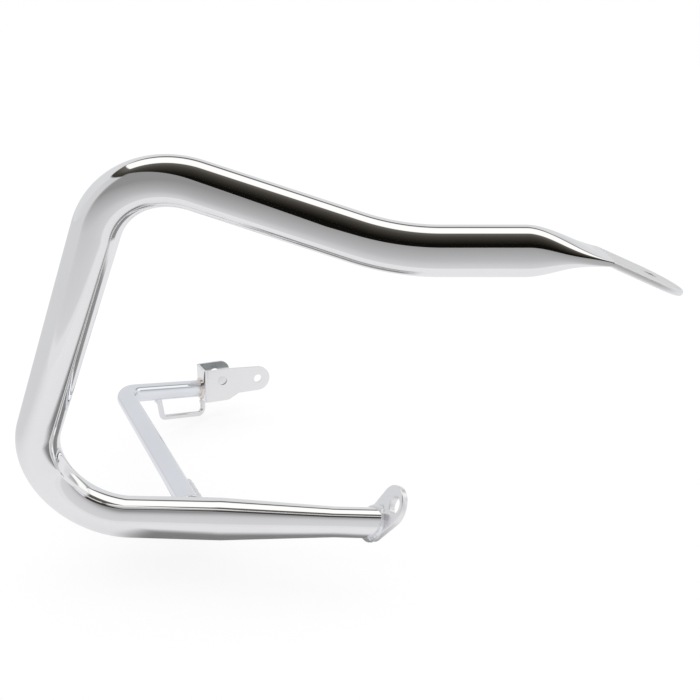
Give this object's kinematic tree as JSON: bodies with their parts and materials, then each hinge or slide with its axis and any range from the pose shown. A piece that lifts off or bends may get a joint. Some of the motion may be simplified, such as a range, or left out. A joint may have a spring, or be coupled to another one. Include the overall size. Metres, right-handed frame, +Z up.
{
  "type": "saddlebag guard",
  "caption": "Chromed crash guard for a motorcycle saddlebag: a bent, swaged tube with a pressed tab, a welded lug plate, and a strut to a folded clevis bracket with a guide loop.",
  "frame": {"origin": "centre of the bolt hole in the lug plate, on the face of the plate that carries the tube", "axes": "+X along the top bar towards its pressed tab, +Y from the guard loop in towards the clevis bracket, +Z up"},
  "size_m": [0.4502, 0.4547, 0.3227],
  "materials": {
    "tube_chrome": "mirror polished",
    "plate_chrome": "bright, less polished than the tube",
    "loop_chrome": "bright",
    "weld_chrome": "lumpy weld under plating",
    "tinted_weld": "lumpy weld under plating, brown heat tint"
  },
  "bodies": {
    "root": {"guard_tube": "tube_chrome", "lug_plate": "plate_chrome", "strut_tube": "tube_chrome", "clevis_bracket": "plate_chrome", "guide_loop": "loop_chrome", "plate_weld": "weld_chrome", "strut_weld": "weld_chrome", "bracket_weld": "tinted_weld", "loop_welds": "weld_chrome"}
  },
  "joints": []
}
